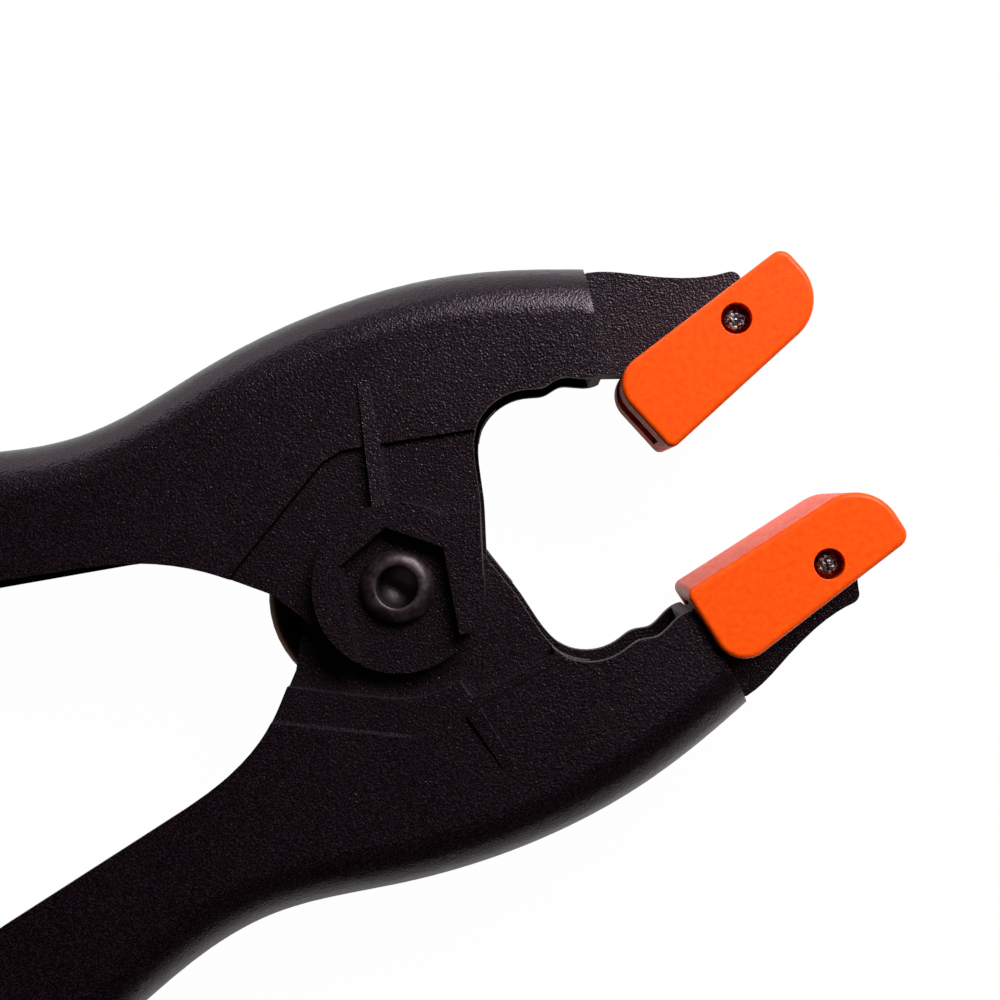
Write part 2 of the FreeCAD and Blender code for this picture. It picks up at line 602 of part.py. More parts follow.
def spring():
    """Torsion spring: one wire, wound round the hubs, with a leg in each handle."""
    radius = COIL_OUTER_RADIUS - WIRE / 2
    slopes = (leg_angle(-HANDLE_LEAN), leg_angle(HANDLE_LEAN))
    rise = 2 * (INNER_EAR_INSIDE - COIL_END_GAP) - WIRE
    part_turn = 180.0 - sum(slopes)
    whole_turns = max(1, math.floor(rise / (WIRE + COIL_TURN_GAP) - part_turn / 360.0))
    turned = 360.0 * whole_turns + part_turn
    pitch = rise * 360.0 / turned
    parts = math.ceil(turned / 90.0)

    def on_coil(share):
        angle = math.radians(90.0 - slopes[0] - turned * share)
        place = Vector(radius * math.cos(angle) - COIL_SET_BACK, radius * math.sin(angle),
                       rise * (share - 0.5))
        climb = 0.0 if share in (0.0, 1.0) else pitch / (2 * math.pi * radius)
        direction = Vector(math.sin(angle), -math.cos(angle), climb).normalize()
        return place, direction

    ends = [on_coil(0.0), on_coil(1.0)]
    legs = []
    for slope in slopes:
        back_reach = LEG_REACH - COIL_SET_BACK + radius * math.sin(math.radians(slope))
        legs.append(back_reach / math.cos(math.radians(slope)))
    edges = [Part.makeLine(ends[0][0] - ends[0][1] * legs[0], ends[0][0])]
    for i in range(parts):
        start, first = on_coil(i / parts)
        end, last = on_coil((i + 1) / parts)
        edges += biarc(start, first, end, last)
    edges.append(Part.makeLine(ends[1][0], ends[1][0] + ends[1][1] * legs[1]))
    path = Part.Wire(edges)
    tip = edges[0].valueAt(edges[0].FirstParameter)
    profile = Part.Wire(Part.makeCircle(WIRE / 2, tip, ends[0][1]))
    tube = Part.BRepOffsetAPI.MakePipeShell(path)
    tube.add(profile, False, False)
    tube.build()
    tube.makeSolid()
    solid = tube.shape()
    print_least_gap(on_coil, turned)
    print("spring volume", round(solid.Volume, 1), "against", round(math.pi * WIRE ** 2 / 4 * path.Length, 1))
    return solid


def print_least_gap(on_coil, turned):
    """Smallest clear gap between the coil's neighbouring turns, measured on points."""
    steps = int(turned / 5)
    places = [on_coil(i / steps)[0] for i in range(steps + 1)]
    apart = int(270 * steps / turned)
    least = min(a.distanceToPoint(b) for i, a in enumerate(places) for b in places[i + apart:])
    print("least gap of the coil to itself", round(least - WIRE, 2))


def placed(shape, turn, place):
    shape = shape.copy()
    shape.rotate(Vector(0, 0, 0), Vector(0, 0, 1), turn)
    shape.translate(Vector(place[0], place[1], 0))
    return shape


def turned_over(shape):
    """The same moulding on the other side of the X axis."""
    shape = shape.copy()
    shape.rotate(Vector(0, 0, 0), Vector(1, 0, 0), 180)
    return shape


def main():
    lower_pin = (PIN_PLACE[0], -PIN_PLACE[1])
    nodes = {
        "upper_arm": arm(-HANDLE_LEAN),
        "lower_arm": turned_over(arm(HANDLE_LEAN)),
        "torsion_spring": spring(),
        "pivot_rivet": rivet(),
        "upper_pad": placed(pad(), UPPER_PAD_ANGLE, PIN_PLACE),
        "lower_pad": placed(turned_over(pad()), LOWER_PAD_ANGLE, lower_pin),
        "upper_pad_pin": placed(pad_pin(), 0, PIN_PLACE),
        "lower_pad_pin": placed(pad_pin(), 0, lower_pin),
    }
    os.makedirs("parts", exist_ok=True)
    for name, shape in nodes.items():
        shape.translate(Vector(0, 0, PAD_WIDTH / 2))
        solids = len(shape.Solids)
        print(name, "solids", solids, "valid", shape.isValid(), "volume", round(shape.Volume, 1))
        shape.exportStep("parts/" + name + ".step")


main()
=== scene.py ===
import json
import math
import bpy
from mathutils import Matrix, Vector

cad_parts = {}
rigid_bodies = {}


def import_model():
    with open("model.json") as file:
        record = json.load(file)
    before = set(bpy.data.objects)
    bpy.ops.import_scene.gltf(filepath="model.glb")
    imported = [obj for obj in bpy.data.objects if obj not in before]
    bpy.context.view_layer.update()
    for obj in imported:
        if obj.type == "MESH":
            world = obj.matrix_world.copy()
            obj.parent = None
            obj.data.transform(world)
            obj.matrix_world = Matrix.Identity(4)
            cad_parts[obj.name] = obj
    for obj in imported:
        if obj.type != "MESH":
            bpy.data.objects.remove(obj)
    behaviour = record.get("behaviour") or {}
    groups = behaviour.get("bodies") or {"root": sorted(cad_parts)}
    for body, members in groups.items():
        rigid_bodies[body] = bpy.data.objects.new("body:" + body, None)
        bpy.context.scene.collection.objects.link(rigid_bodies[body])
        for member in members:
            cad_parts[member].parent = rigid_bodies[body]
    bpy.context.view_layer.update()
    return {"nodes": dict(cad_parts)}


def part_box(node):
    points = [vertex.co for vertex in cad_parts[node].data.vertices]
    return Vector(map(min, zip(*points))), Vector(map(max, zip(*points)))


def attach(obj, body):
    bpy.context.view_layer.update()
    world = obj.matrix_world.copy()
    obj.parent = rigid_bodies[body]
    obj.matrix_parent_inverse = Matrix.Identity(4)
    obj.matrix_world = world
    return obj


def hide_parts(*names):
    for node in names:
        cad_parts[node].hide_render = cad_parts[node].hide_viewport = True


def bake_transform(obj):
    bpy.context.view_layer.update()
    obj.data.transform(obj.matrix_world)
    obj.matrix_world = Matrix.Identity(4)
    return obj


bl_info = {
    "name": "Spring clamp",
    "version": (1, 0, 0),
    "blender": (4, 5, 0),
    "location": "View3D > Sidebar > Clamp",
    "description": "Dresses the spring clamp's model and sets it up for its picture",
    "category": "Object",
}

import bmesh
import bpy
from bpy.props import FloatProperty, FloatVectorProperty, IntProperty, PointerProperty
from mathutils import Vector, noise

for leftover in list(bpy.data.objects):
    bpy.data.objects.remove(leftover)
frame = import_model()

MM = 0.001
ARMS = ("upper_arm", "lower_arm")
PADS = ("upper_pad", "lower_pad")
PINS = ("upper_pad_pin", "lower_pad_pin")
MIDDLE_HEIGHT = (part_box("pivot_rivet")[0].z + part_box("upper_pad")[1].z) / 2
SPRING_LOW, SPRING_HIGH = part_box("torsion_spring")
ON_AXIS = 1e-9

# Rounding of the CAD nodes' edges
WELD_DISTANCE = 0.002 * MM
FLAT_ANGLE = math.radians(0.6)
RIM_SEGMENTS = 3
FACE_WEIGHT = 60

# Spring: points along and around its wire, and the search for its legs' slope
STEPS_PER_TURN = 48
EXTRA_STEPS = 20
LEG_STEPS = 12
WIRE_SEGMENTS = 20
WIRE_CHAMFER = 0.25 * MM
TEXTURE_LENGTH = 0.1
STREAK_SCALE = (3, 160, 1)
STEEPEST_LEG = math.radians(60)
HALVINGS = 40

# Rivet: each seat lies this far from the middle height
RIVET_SEAT = 11.3 * MM
RIVET_SEGMENTS = 96
RIVET_STEP = 1.2 * MM

# Rivet: dished bottom of its hole
DISH_CENTRE = 2.4 * MM
DISH_RADIUS = 3.2 * MM
DISH_EDGE = 0.3 * MM

# Rivet: draft and broken lower edge of its rolled end
ROLL_DRAFT = 0.02 * MM
ROLL_EDGE = 0.3 * MM
ROLL_EDGE_HEIGHT = 0.25 * MM

# Rivet: broken upper edge, rounded side and sloping face of its far head
HEAD_EDGE = 0.15 * MM
HEAD_EDGE_HEIGHT = 0.2 * MM
HEAD_SIDE = 0.85 * MM
HEAD_ROUND = 0.45 * MM
HEAD_SLOPE = 1.0 * MM
HEAD_SLOPE_HEIGHT = 0.18 * MM
HEAD_FLAT = 1.6 * MM

# Rivet: torn metal and uneven edge of its rim, which starts this far above the middle height
RIM_START = 11 * MM
TORN_SCALE = 900
TORN_DEPTH = 0.06 * MM
BENT_SCALE = 260
BENT_DEPTH = 0.05 * MM
RIM_SINK = 0.6

# Pins: rings of points, and the cutter's marks
PIN_SEGMENTS = 32
PIN_CHAMFER = 0.22 * MM
END_RINGS = 8
SIDE_RINGS = 6
CUT_REACH = 0.1 * MM
CUT_BROAD = 1700
CUT_FINE = 4200
CUT_FINE_SHARE = 0.5
CUT_SHARE = 1.1
TILT_SCALE = 900
TILT_SHARE = 0.3
SEED_SCALE = 1000

# Tint of the reflections on the dark nylon and the dark steel
SHEEN = (1.0, 0.81, 0.93)

# Studio: paper floor, lamps in metres and watts, and the room's level against height
FLOOR_SEGMENTS = 96
PAPER = (0.9, 0.9, 0.9)
WHITE = (1, 1, 1)
KEY_PLACE = (0.36, 0.26, 0.46)
KEY_SIZE = (0.36, 0.36)
KEY_POWER = 5.5
STRIP_PLACE = (-0.15, 0.62, 0.16)
STRIP_SIZE = (0.60, 0.24)
STRIP_POWER = 0.7
KEY_SIDE = (0.81, 0.585)
ROOM_LEVELS = ((0.0, 0.5), (0.15, 0.35), (0.4, 0.07), (1.0, 0.02))
SENSOR = 36.0
NEAREST_SEEN = 0.01


# Properties

class ClampSizes(bpy.types.PropertyGroup):
    arm_rim: FloatProperty(
        name="Arm rim", description="Width of the rounding on the arms' sharp edges",
        default=0.11 * MM, unit="LENGTH")
    pad_rim: FloatProperty(
        name="Pad rim", description="Width of the rounding on the pads' sharp edges",
        default=0.22 * MM, unit="LENGTH")
    rim_angle: FloatProperty(
        name="Rim angle", description="Edges sharper than this are rounded",
        default=math.radians(28), subtype="ANGLE")
    wire: FloatProperty(
        name="Wire", description="Thickness of the spring's wire",
        default=3.25 * MM, unit="LENGTH")
    coil: FloatProperty(
        name="Coil", description="Outer radius of the spring's coil",
        default=11.65 * MM, unit="LENGTH")
    whole_turns: IntProperty(
        name="Whole turns", description="Full turns of the spring's coil", default=2)
    rivet_shank: FloatProperty(
        name="Rivet shank", description="Radius of the rivet's shank",
        default=3.0 * MM, unit="LENGTH")
    rivet_head: FloatProperty(
        name="Rivet head", description="Radius of the rivet's head and of its rolled end",
        default=4.2 * MM, unit="LENGTH")
    rivet_hole: FloatProperty(
        name="Rivet hole", description="Radius of the hole in the rivet's rolled end",
        default=2.3 * MM, unit="LENGTH")
    rivet_depth: FloatProperty(
        name="Rivet hole depth", description="Depth of that hole down to its dished bottom",
        default=4.2 * MM, unit="LENGTH")
    rivet_lip: FloatProperty(
        name="Rivet lip", description="Rounding between the rolled end and its hole",
        default=0.3 * MM, unit="LENGTH")
    rivet_roll: FloatProperty(
        name="Rivet roll", description="Rounding of the rolled end's outer edge",
        default=1.5 * MM, unit="LENGTH")
    pin: FloatProperty(
        name="Pin", description="Radius of a pad's pin", default=1.25 * MM, unit="LENGTH")
    pin_roughness: FloatProperty(
        name="Cut end", description="Depth of the marks on a pin's cut ends",
        default=0.14 * MM, unit="LENGTH")


class ClampColours(bpy.types.PropertyGroup):
    nylon: FloatVectorProperty(
        name="Nylon", description="Black glass filled nylon of the arms",
        default=(0.0012, 0.0003, 0.0008), subtype="COLOR", min=0, max=1)
    # Painted highlight: lighter points in the colour that stand in for the glints on the arms' grain
    nylon_painted_glint: FloatVectorProperty(
        name="Nylon fleck", description="Lighter points of the arms' spark eroded grain",
        default=(0.018, 0.0075, 0.012), subtype="COLOR", min=0, max=1)
    pad: FloatVectorProperty(
        name="Pad", description="Orange of the gripping pads",
        default=(1.0, 0.097, 0.003), subtype="COLOR", min=0, max=1)
    pad_deep: FloatVectorProperty(
        name="Pad shade", description="Deeper orange of the pads' mottling",
        default=(0.96, 0.076, 0.002), subtype="COLOR", min=0, max=1)
    spring: FloatVectorProperty(
        name="Spring", description="Oil tempered wire",
        default=(0.150, 0.055, 0.018), subtype="COLOR", min=0, max=1)
    spring_dark: FloatVectorProperty(
        name="Spring shade", description="Darker streaks along the wire",
        default=(0.030, 0.018, 0.012), subtype="COLOR", min=0, max=1)
    rivet: FloatVectorProperty(
        name="Rivet", description="Blackened steel of the rivet",
        default=(0.006, 0.003, 0.004), subtype="COLOR", min=0, max=1)
    rivet_worn: FloatVectorProperty(
        name="Rivet wear", description="Steel where the blackening is rubbed thin",
        default=(0.026, 0.016, 0.017), subtype="COLOR", min=0, max=1)
    rivet_bore: FloatVectorProperty(
        name="Rivet bore", description="Bare steel in the rivet's hole",
        default=(0.085, 0.065, 0.070), subtype="COLOR", min=0, max=1)
    pin_dark: FloatVectorProperty(
        name="Pin shade", description="Darker hollows of the pins' cut ends",
        default=(0.050, 0.026, 0.026), subtype="COLOR", min=0, max=1)
    pin: FloatVectorProperty(
        name="Pin", description="Steel of the pads' pins",
        default=(0.480, 0.410, 0.400), subtype="COLOR", min=0, max=1)


class ClampStage(bpy.types.PropertyGroup):
    camera_place: FloatVectorProperty(
        name="Camera", description="Where the camera stands",
        default=(18.3 * MM, 2.7 * MM, 285.3 * MM), subtype="TRANSLATION")
    camera_roll: FloatProperty(
        name="Camera roll", description="Turn of the camera about its line of sight",
        default=math.radians(-20.74), subtype="ANGLE")
    lens: FloatProperty(
        name="Lens", description="Focal length on a 36 mm sensor, in millimetres", default=83.95)
    shift: FloatVectorProperty(
        name="Shift", description="Lens shift across and up", size=2, default=(-0.043, 0.006))
    floor: FloatProperty(
        name="Floor", description="Radius of the floor", default=4.0, unit="LENGTH")
    floor_glow: FloatProperty(
        name="Floor glow", description="How much of the floor's white doesn't depend on the lamps",
        default=0.985, min=0, max=1, subtype="FACTOR")
    mirror_glow: FloatProperty(
        name="Mirror glow", description="The same share as reflections and clear pieces show it",
        default=0.25, min=0, max=1, subtype="FACTOR")
    world: FloatProperty(
        name="World", description="Strength of the room's light", default=1.0)


# Shader building

class Value:
    """A socket in a material, on which Python's operators add Math nodes."""

    def __init__(self, finish, socket):
        self.finish = finish
        self.socket = socket

    def maths(self, operation, first, second):
        return self.finish.node("ShaderNodeMath", {"operation": operation}, {0: first, 1: second})

    def __add__(self, other):
        return self.maths("ADD", self, other)

    __radd__ = __add__

    def __sub__(self, other):
        return self.maths("SUBTRACT", self, other)

    def __mul__(self, other):
        return self.maths("MULTIPLY", self, other)

    def __truediv__(self, other):
        return self.maths("DIVIDE", self, other)

    def above(self, other):
        return self.maths("MAXIMUM", self, other)


class Finish:
    """A node tree, and the one way in which its nodes are made."""

    def __init__(self, tree):
        self.tree = tree
        tree.nodes.clear()

    def node(self, kind, settings=None, inputs=None, output=0):
        node = self.tree.nodes.new(kind)
        for name, value in (settings or {}).items():
            if name == "stops":
                self.set_stops(node.color_ramp, value)
            else:
                setattr(node, name, value)
        for name, value in (inputs or {}).items():
            if isinstance(value, Value):
                self.tree.links.new(value.socket, node.inputs[name])
            elif hasattr(value, "__len__") and len(value) == 3 and node.inputs[name].type == "RGBA":
                node.inputs[name].default_value = (*value, 1)
            else:
                node.inputs[name].default_value = value
        return Value(self, node.outputs[output])

    def set_stops(self, ramp, stops):
        while len(ramp.elements) < len(stops):
            ramp.elements.new(1)
        for element, (place, level) in zip(ramp.elements, stops):
            element.position = place
            element.color = (level, level, level, 1)

    def place(self):
        """Coordinates that stay with the piece."""
        return self.node("ShaderNodeTexCoord", output="Object")

    def wall(self):
        """1 on walls along the mould's draw, 0 on faces square to it."""
        normal = self.node("ShaderNodeTexCoord", output="Normal")
        facing = self.node("ShaderNodeSeparateXYZ", None, {0: normal}, output="Z")
        return self.ramp(facing.maths("ABSOLUTE", facing, 0.0), (0.04, 1.0), (0.15, 0.0))

    def scaled(self, vector, scale):
        return self.node("ShaderNodeMapping", None, {"Vector": vector, "Scale": scale})

    def noise(self, vector, size, detail=2.0, roughness=0.5):
        inputs = {"Vector": vector, "Scale": 1 / size, "Detail": detail, "Roughness": roughness}
        return self.node("ShaderNodeTexNoise", None, inputs)

    def ramp(self, value, *stops):
        """Grey level over a value, from (value, level) stops."""
        return self.node("ShaderNodeValToRGB", {"stops": stops}, {"Fac": value})

    def mix(self, factor, first, second):
        settings = {"data_type": "RGBA"}
        return self.node("ShaderNodeMix", settings, {0: factor, 6: first, 7: second}, output=2)

    def bump(self, height, depth, strength=1.0):
        inputs = {"Height": height, "Distance": depth, "Strength": strength}
        return self.node("ShaderNodeBump", None, inputs)

    def surface(self, **sockets):
        """The material's shader, from its sockets' names with _ for each space."""
        inputs = {name.replace("_", " "): value for name, value in sockets.items()}
        shader = self.node("ShaderNodeBsdfPrincipled", None, inputs)
        self.shown(shader)

    def shown(self, shader, kind="ShaderNodeOutputMaterial"):
        output = self.tree.nodes.new(kind)
        self.tree.links.new(shader.socket, output.inputs["Surface"])


def new_finish(name):
    material = bpy.data.materials.new(name)
    material.use_nodes = True
    return material, Finish(material.node_tree)


def nylon_material(colours):
    """Black nylon with the fine pitted grain of a spark eroded mould, and painted glints on that grain.
    """
    material, finish = new_finish("black nylon")
    place = finish.place()
    grain = finish.noise(place, size=0.21 * MM, detail=1.0)
    waves = finish.noise(place, size=0.30 * MM, detail=0.0)
    broad = finish.noise(place, size=9 * MM)
    # Lighter points painted into the colour, a painted highlight standing in for the grain's glints
    points = finish.noise(place, size=0.19 * MM, detail=1.0, roughness=0.6)
    painted_glint_mask = finish.ramp(points, (0.50, 0.0), (0.68, 1.0))
    colour = finish.mix(painted_glint_mask, colours.nylon, colours.nylon_painted_glint)
    rough = 0.26 + broad * 0.06 + finish.wall() * 0.3
    finish.surface(
        Base_Color=colour, Roughness=rough, Specular_IOR_Level=0.5, Specular_Tint=SHEEN,
        Normal=finish.bump(grain + waves * 0.5, depth=0.055 * MM))
    return material


def pad_material(colours):
    """Matte orange plastic with a fine even grain and a faint mottling."""
    material, finish = new_finish("orange pad")
    place = finish.place()
    grain = finish.noise(place, size=0.35 * MM, roughness=0.6)
    mottle = finish.noise(place, size=0.7 * MM, detail=3.0)
    shade = finish.ramp(mottle, (0.40, 0.0), (0.66, 1.0))
    colour = finish.mix(shade, colours.pad, colours.pad_deep)
    rough = 0.28 + grain * 0.1 + finish.wall() * (mottle * 0.5 - 0.17)
    finish.surface(
        Base_Color=colour, Roughness=rough, Specular_IOR_Level=0.2,
        Subsurface_Weight=0.05, Subsurface_Radius=(1.0, 0.35, 0.1), Subsurface_Scale=0.6 * MM,
        Normal=finish.bump(grain, depth=0.035 * MM, strength=0.6))
    return material


def spring_material(colours):
    """Oil tempered wire: brown oxide with draw marks along the wire."""
    material, finish = new_finish("spring steel")
    along = finish.node("ShaderNodeTexCoord", output="UV")
    streaks = finish.noise(finish.scaled(along, STREAK_SCALE), size=1.0, detail=3.0)
    patches = finish.noise(finish.place(), size=5 * MM, detail=3.0)
    dark = finish.ramp(streaks * 0.6 + patches * 0.5, (0.42, 0.0), (0.66, 1.0))
    colour = finish.mix(dark, colours.spring, colours.spring_dark)
    finish.surface(
        Base_Color=colour, Metallic=0.85, Roughness=0.30 + streaks * 0.2,
        Normal=finish.bump(streaks, depth=0.03 * MM, strength=0.5))
    return material


def rivet_material(colours):
    """Blackened steel, rubbed thin on its rolled rim and bare in its hole."""
    material, finish = new_finish("rivet steel")
    place = finish.place()
    grain = finish.noise(place, size=0.45 * MM, detail=4.0, roughness=0.65)
    patches = finish.noise(place, size=1.8 * MM)
    worn = finish.ramp(grain * 0.5 + patches * 0.5, (0.44, 0.0), (0.62, 1.0))
    rim = finish.mix(worn, colours.rivet, colours.rivet_worn)
    height = finish.node("ShaderNodeSeparateXYZ", None, {0: place}, output="Z")
    share = height / (2 * MIDDLE_HEIGHT)
    bore = finish.ramp(share, (0.76, 0.0), (0.78, 1.0), (0.85, 1.0), (0.90, 0.0))
    colour = finish.mix(bore, rim, colours.rivet_bore)
    finish.surface(
        Base_Color=colour, Metallic=bore * 0.8, Roughness=0.34 + grain * 0.16,
        Specular_IOR_Level=0.6, Specular_Tint=SHEEN,
        Normal=finish.bump(grain, depth=0.04 * MM, strength=0.6))
    return material


def pin_material(colours):
    """Bright drawn steel with torn, cut ends."""
    material, finish = new_finish("pin steel")
    place = finish.place()
    grain = finish.noise(place, size=0.28 * MM, detail=3.0, roughness=0.6)
    bright = finish.ramp(grain, (0.48, 0.0), (0.62, 1.0))
    colour = finish.mix(bright, colours.pin_dark, colours.pin)
    finish.surface(
        Base_Color=colour, Metallic=1.0, Roughness=0.24 + grain * 0.25,
        Normal=finish.bump(grain, depth=0.05 * MM, strength=0.6))
    return material


# Mesh building

def new_piece(name, mesh_maker, material, body, slot, *nodes):
    """Piece from a filled bmesh, riding on a body in place of CAD nodes."""
    mesh = bpy.data.meshes.new(name)
    mesh_maker.to_mesh(mesh)
    mesh_maker.free()
    for face in mesh.polygons:
        face.use_smooth = True
    piece = bpy.data.objects.new(name, mesh)
    bpy.context.scene.collection.objects.link(piece)
    mesh.materials.append(material)
    if body:
        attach(piece, body)
    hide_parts(*nodes)
    return piece


def lathe(profile, segments, wobble):
    """Surface of revolution about Z over (radius, height) points that start and end on the axis.

    The function wobble moves each point that isn't on the axis.
    """
    maker = bmesh.new()
    rings = []
    for radius, height in profile:
        if radius < ON_AXIS:
            rings.append([maker.verts.new((0, 0, height))])
            continue
        ring = []
        for i in range(segments):
            turn = 2 * math.pi * i / segments
            place = Vector((radius * math.cos(turn), radius * math.sin(turn), height))
            ring.append(maker.verts.new(wobble(place)))
        rings.append(ring)
    for low, high in zip(rings, rings[1:]):
        for i in range(segments):
            j = (i + 1) % segments
            corners = [low[i % len(low)], low[j % len(low)], high[j % len(high)], high[i % len(high)]]
            maker.faces.new(list(dict.fromkeys(corners)))
    bmesh.ops.recalc_face_normals(maker, faces=maker.faces)
    return maker


def arc(centre, radius, first, last, steps):
    """Profile points on a circular arc, angles in degrees."""
    points = []
    for i in range(steps + 1):
        turn = math.radians(first + (last - first) * i / steps)
        points.append((centre[0] + radius * math.cos(turn), centre[1] + radius * math.sin(turn)))
    return points


def round_rims(node, width, angle):
    """Rounds a CAD node's sharp edges with modifiers, which leave its own mesh alone."""
    weld = node.modifiers.new("weld", "WELD")
    weld.merge_threshold = WELD_DISTANCE
    flats = node.modifiers.new("flats", "DECIMATE")
    flats.decimate_type = "DISSOLVE"
    flats.angle_limit = FLAT_ANGLE
    rim = node.modifiers.new("rim", "BEVEL")
    rim.width = width
    rim.segments = RIM_SEGMENTS
    rim.limit_method = "ANGLE"
    rim.angle_limit = angle
    rim.use_clamp_overlap = True
    rim.miter_outer = "MITER_ARC"
    rim.harden_normals = True
    normals = node.modifiers.new("normals", "WEIGHTED_NORMAL")
    normals.keep_sharp = False
    normals.weight = FACE_WEIGHT


def dress(scene, names, material, width):
    """Gives CAD nodes their material and rounds their sharp edges."""
    for name in names:
        node = frame["nodes"][name]
        node.material_slots[0].material = material
        round_rims(node, width, scene.clamp_sizes.rim_angle)


# Operators

class CLAMP_OT_arms(bpy.types.Operator):
    """Finish the two moulded arms"""
    bl_idname = "clamp.arms"
    bl_label = "Arms"

    def execute(self, context):
        scene = context.scene
        dress(scene, ARMS, nylon_material(scene.clamp_colours), scene.clamp_sizes.arm_rim)
        return {"FINISHED"}


class CLAMP_OT_pads(bpy.types.Operator):
    """Finish the two swivelling pads"""
    bl_idname = "clamp.pads"
    bl_label = "Pads"

    def execute(self, context):
        scene = context.scene
        dress(scene, PADS, pad_material(scene.clamp_colours), scene.clamp_sizes.pad_rim)
        return {"FINISHED"}


class CLAMP_OT_spring(bpy.types.Operator):
    """Wind the torsion spring"""
    bl_idname = "clamp.spring"
    bl_label = "Spring"

    def execute(self, context):
        sizes = context.scene.clamp_sizes
        radius = sizes.coil - sizes.wire / 2
        centre = Vector((SPRING_HIGH.x - sizes.coil, 0, 0))
        reach = centre.x - SPRING_LOW.x
        upper = self.leg_slope(radius, reach, sizes.wire, SPRING_HIGH.y)
        lower = self.leg_slope(radius, reach, sizes.wire, -SPRING_LOW.y)
        low = SPRING_LOW.z + sizes.wire / 2
        rise = SPRING_HIGH.z - SPRING_LOW.z - sizes.wire
        turned = 2 * math.pi * sizes.whole_turns + math.pi - upper - lower
        steps = STEPS_PER_TURN * sizes.whole_turns + EXTRA_STEPS
        path = []
        for i in range(steps + 1):
            share = i / steps
            turn = math.pi / 2 - upper - turned * share
            height = low + rise * share
            path.append(centre + Vector((radius * math.cos(turn), radius * math.sin(turn), height)))
        first = self.leg(path[0], Vector((-math.cos(upper), math.sin(upper), 0)), reach, radius)
        last = self.leg(path[-1], Vector((-math.cos(lower), -math.sin(lower), 0)), reach, radius)
        path = first[::-1] + path + last
        maker = self.tube(path, sizes.wire / 2)
        material = spring_material(context.scene.clamp_colours)
        piece = new_piece("spring_wire", maker, material, None, "spring_steel", "torsion_spring")
        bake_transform(piece)
        return {"FINISHED"}

    def leg(self, foot, direction, reach, radius):
        """Points of a straight leg, away from the coil."""
        length = (reach + radius * abs(direction.y)) / abs(direction.x)
        return [foot + direction * (length * (i + 1) / LEG_STEPS) for i in range(LEG_STEPS)]

    def leg_slope(self, radius, reach, wire, side):
        """Slope of a leg that brings its tip to the CAD spring's side."""
        low, high = 0.0, STEEPEST_LEG
        for _ in range(HALVINGS):
            slope = (low + high) / 2
            tip = (radius + wire / 2) / math.cos(slope) + reach * math.tan(slope)
            if tip < side:
                low = slope
            else:
                high = slope
        return low

    def tube(self, path, radius):
        """Round wire along a path, with slightly broken end edges."""
        maker = bmesh.new()
        uv = maker.loops.layers.uv.new("wire")
        rings = []
        travelled = 0.0
        stations = [(path[0], 0.0, radius - WIRE_CHAMFER), (path[0], WIRE_CHAMFER, radius)]
        for place in path[1:-1]:
            stations.append((place, 0.0, radius))
        stations += [(path[-1], -WIRE_CHAMFER, radius), (path[-1], 0.0, radius - WIRE_CHAMFER)]
        for index, (place, shift, size) in enumerate(stations):
            position = min(max(index - 1, 0), len(path) - 1)
            before = path[max(position - 1, 0)]
            after = path[min(position + 1, len(path) - 1)]
            direction = (after - before).normalized()
            side = Vector((0, 0, 1)).cross(direction).normalized()
            up = direction.cross(side)
            middle = place + direction * shift
            if rings:
                travelled += (middle - rings[-1][1]).length
            ring = []
            for i in range(WIRE_SEGMENTS):
                turn = 2 * math.pi * i / WIRE_SEGMENTS
                spoke = side * math.cos(turn) + up * math.sin(turn)
                ring.append(maker.verts.new(middle + spoke * size))
            rings.append((ring, middle, travelled))
        for (low, _, start), (high, _, end) in zip(rings, rings[1:]):
            for i in range(WIRE_SEGMENTS):
                j = (i + 1) % WIRE_SEGMENTS
                face = maker.faces.new((low[i], low[j], high[j], high[i]))
                rows = ((start, i), (start, i + 1), (end, i + 1), (end, i))
                for loop, (length, step) in zip(face.loops, rows):
                    loop[uv].uv = (length / TEXTURE_LENGTH, step / WIRE_SEGMENTS)
        for ring, _, _ in (rings[0], rings[-1]):
            maker.faces.new(ring)
        bmesh.ops.recalc_face_normals(maker, faces=maker.faces)
        return maker


